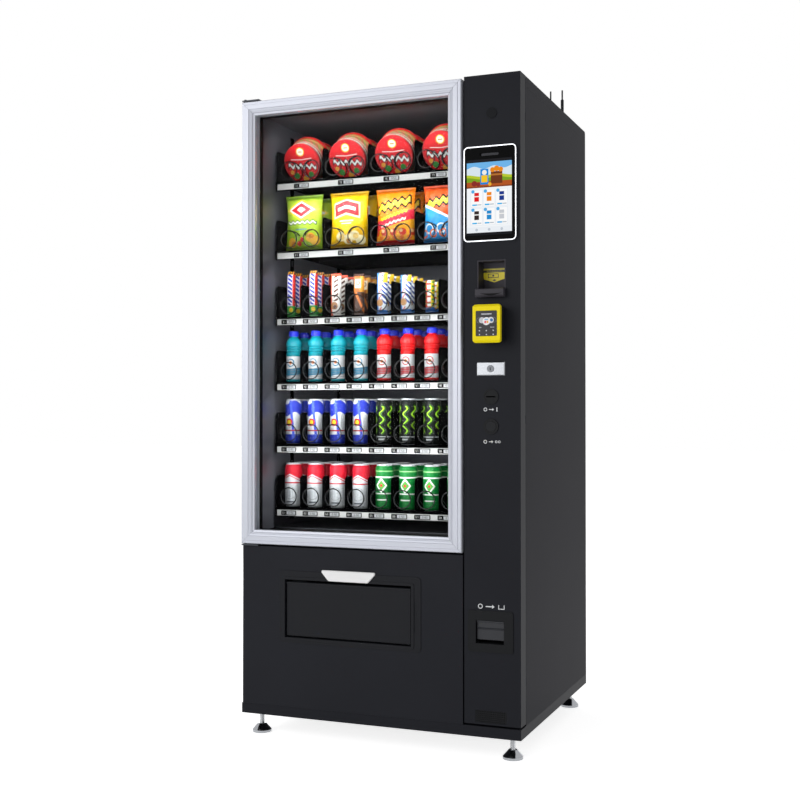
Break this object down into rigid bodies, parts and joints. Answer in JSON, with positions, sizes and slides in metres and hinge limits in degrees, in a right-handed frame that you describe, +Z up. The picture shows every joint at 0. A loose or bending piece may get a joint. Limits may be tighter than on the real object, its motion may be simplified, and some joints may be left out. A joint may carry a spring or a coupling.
{
  "type": "snack vending machine",
  "caption": "Glass-fronted snack vending machine with sliding spiral trays, a payment pillar with touchscreen, a delivery flap and levelling feet.",
  "frame": {"origin": "on the floor below the middle of the machine's box", "axes": "+Z up, +X to the right seen from the front, +Y to the back"},
  "size_m": [0.884, 0.85, 2.017],
  "materials": {
    "wall_paint": "satin",
    "front_paint": "satin",
    "foot_steel": "polished",
    "foot_rubber": "matte",
    "black_plastic": "matte",
    "bin_sheet": "satin",
    "unit_metal": "satin",
    "liner_sheet": "satin",
    "tray_black": "satin",
    "led_cover": "gloss",
    "hinge_steel": "brushed",
    "frame_aluminium": "satin",
    "window_glass": "clear",
    "seal_rubber": "matte",
    "bezel_chrome": "polished",
    "screen_black": "gloss",
    "display_glass": "gloss",
    "bill_plastic": "matte",
    "reader_yellow": "satin",
    "lock_steel": "brushed",
    "coin_black": "matte",
    "flap_grey": "matte",
    "module_grey": "satin",
    "coil_wire": "satin"
  },
  "bodies": {
    "cabinet": {"left_side_panel": "wall_paint", "right_side_panel": "wall_paint", "roof_panel": "wall_paint", "back_panel": "wall_paint", "partition_wall": "wall_paint", "cabinet_deck": "bin_sheet", "base_plinth": "front_paint", "foot_stems": "foot_steel", "foot_pads": "foot_rubber", "lower_front_panel": "front_paint", "delivery_bezel": "black_plastic", "delivery_bin": "bin_sheet", "cooling_unit": "unit_metal", "inner_liner": "liner_sheet", "tray_supports": "tray_black", "led_strips": "led_cover", "door_hinges": "hinge_steel", "antennas": "black_plastic", "power_box": "module_grey"},
    "glass_door": {"door_frame": "frame_aluminium", "door_glass": "window_glass", "door_gasket": "seal_rubber"},
    "control_door_body": {"control_door": "front_paint", "screen_bezel": "bezel_chrome", "screen_panel": "screen_black", "touch_display": "display_glass", "camera_disc": "screen_black", "bill_acceptor": "bill_plastic", "card_reader": "black_plastic", "card_reader_frame": "reader_yellow", "card_reader_screen": "screen_black", "lock_plate": "lock_steel", "panel_rings": "coin_black", "coin_return_bezel": "coin_black", "coin_changer": "module_grey", "speaker_grille": "coin_black"},
    "lock_cylinder": {"key_lock": "lock_steel"},
    "change_key": {"change_button": "flap_grey"},
    "coin_flap": {"coin_return_flap": "flap_grey"},
    "delivery_flap_body": {"delivery_flap": "black_plastic"},
    "tray_1_body": {"tray_1": "tray_black", "spirals_1": "coil_wire"},
    "spiral_1_body": {"live_spiral_1": "coil_wire"},
    "spiral_1b_body": {"live_spiral_1b": "coil_wire"},
    "tray_2_body": {"tray_2": "tray_black", "spirals_2": "coil_wire"},
    "spiral_2_body": {"live_spiral_2": "coil_wire"},
    "spiral_2b_body": {"live_spiral_2b": "coil_wire"},
    "tray_3_body": {"tray_3": "tray_black", "spirals_3": "coil_wire"},
    "spiral_3_body": {"live_spiral_3": "coil_wire"},
    "tray_4_body": {"tray_4": "tray_black", "spirals_4": "coil_wire"},
    "spiral_4_body": {"live_spiral_4": "coil_wire"},
    "tray_5_body": {"tray_5": "tray_black", "spirals_5": "coil_wire"},
    "spiral_5_body": {"live_spiral_5": "coil_wire"},
    "tray_6_body": {"tray_6": "tray_black", "spirals_6": "coil_wire"},
    "spiral_6_body": {"live_spiral_6": "coil_wire"}
  },
  "joints": [
    {"name": "glass_door_hinge", "type": "hinge", "parent": "cabinet", "child": "glass_door", "pos_m": [-0.431, -0.369, 1.2], "axis": [0, 0, -1], "range_deg": [0, 105]},
    {"name": "control_door_hinge", "type": "hinge", "parent": "cabinet", "child": "control_door_body", "pos_m": [0.438, -0.319, 1], "axis": [0, 0, 1], "range_deg": [0, 100]},
    {"name": "lock_turn", "type": "hinge", "parent": "control_door_body", "child": "lock_cylinder", "pos_m": [0.35575, -0.365, 1.105], "axis": [0, 1, 0], "range_deg": [0, 90]},
    {"name": "change_press", "type": "slide", "parent": "control_door_body", "child": "change_key", "axis": [0, 1, 0], "range_m": [0, 0.004], "stiffness_N_per_m": 400, "springref_m": -0.002},
    {"name": "coin_flap_swing", "type": "hinge", "parent": "control_door_body", "child": "coin_flap", "pos_m": [0.35175, -0.36, 0.392], "axis": [1, 0, 0], "range_deg": [0, 60]},
    {"name": "delivery_flap_swing", "type": "hinge", "parent": "cabinet", "child": "delivery_flap_body", "pos_m": [-0.09, -0.358, 0.468], "axis": [1, 0, 0], "range_deg": [0, 70]},
    {"name": "tray_1_slide", "type": "slide", "parent": "cabinet", "child": "tray_1_body", "axis": [0, -1, 0], "range_m": [0, 0.07]},
    {"name": "spiral_1_turn", "type": "hinge", "parent": "tray_1_body", "child": "spiral_1_body", "pos_m": [-0.3535, -0.221, 1.746], "axis": [0, 1, 0], "range_deg": [0, 360]},
    {"name": "spiral_1b_turn", "type": "hinge", "parent": "tray_1_body", "child": "spiral_1b_body", "pos_m": [-0.2765, -0.221, 1.746], "axis": [0, 1, 0], "range_deg": [-360, 0]},
    {"name": "tray_2_slide", "type": "slide", "parent": "cabinet", "child": "tray_2_body", "axis": [0, -1, 0], "range_m": [0, 0.07]},
    {"name": "spiral_2_turn", "type": "hinge", "parent": "tray_2_body", "child": "spiral_2_body", "pos_m": [-0.3535, -0.221, 1.528], "axis": [0, 1, 0], "range_deg": [0, 360]},
    {"name": "spiral_2b_turn", "type": "hinge", "parent": "tray_2_body", "child": "spiral_2b_body", "pos_m": [-0.2765, -0.221, 1.528], "axis": [0, 1, 0], "range_deg": [-360, 0]},
    {"name": "tray_3_slide", "type": "slide", "parent": "cabinet", "child": "tray_3_body", "axis": [0, -1, 0], "range_m": [0, 0.07]},
    {"name": "spiral_3_turn", "type": "hinge", "parent": "tray_3_body", "child": "spiral_3_body", "pos_m": [-0.3535, -0.221, 1.319], "axis": [0, 1, 0], "range_deg": [0, 360]},
    {"name": "tray_4_slide", "type": "slide", "parent": "cabinet", "child": "tray_4_body", "axis": [0, -1, 0], "range_m": [0, 0.07]},
    {"name": "spiral_4_turn", "type": "hinge", "parent": "tray_4_body", "child": "spiral_4_body", "pos_m": [-0.3535, -0.221, 1.114], "axis": [0, 1, 0], "range_deg": [0, 360]},
    {"name": "tray_5_slide", "type": "slide", "parent": "cabinet", "child": "tray_5_body", "axis": [0, -1, 0], "range_m": [0, 0.07]},
    {"name": "spiral_5_turn", "type": "hinge", "parent": "tray_5_body", "child": "spiral_5_body", "pos_m": [-0.3535, -0.221, 0.918], "axis": [0, 1, 0], "range_deg": [0, 360]},
    {"name": "tray_6_slide", "type": "slide", "parent": "cabinet", "child": "tray_6_body", "axis": [0, -1, 0], "range_m": [0, 0.07]},
    {"name": "spiral_6_turn", "type": "hinge", "parent": "tray_6_body", "child": "spiral_6_body", "pos_m": [-0.3535, -0.221, 0.719], "axis": [0, 1, 0], "range_deg": [0, 360]}
  ],
  "couplings": [
    {"joint": "spiral_1b_turn", "follows": "spiral_1_turn", "ratio": -1},
    {"joint": "spiral_2b_turn", "follows": "spiral_2_turn", "ratio": -1}
  ]
}
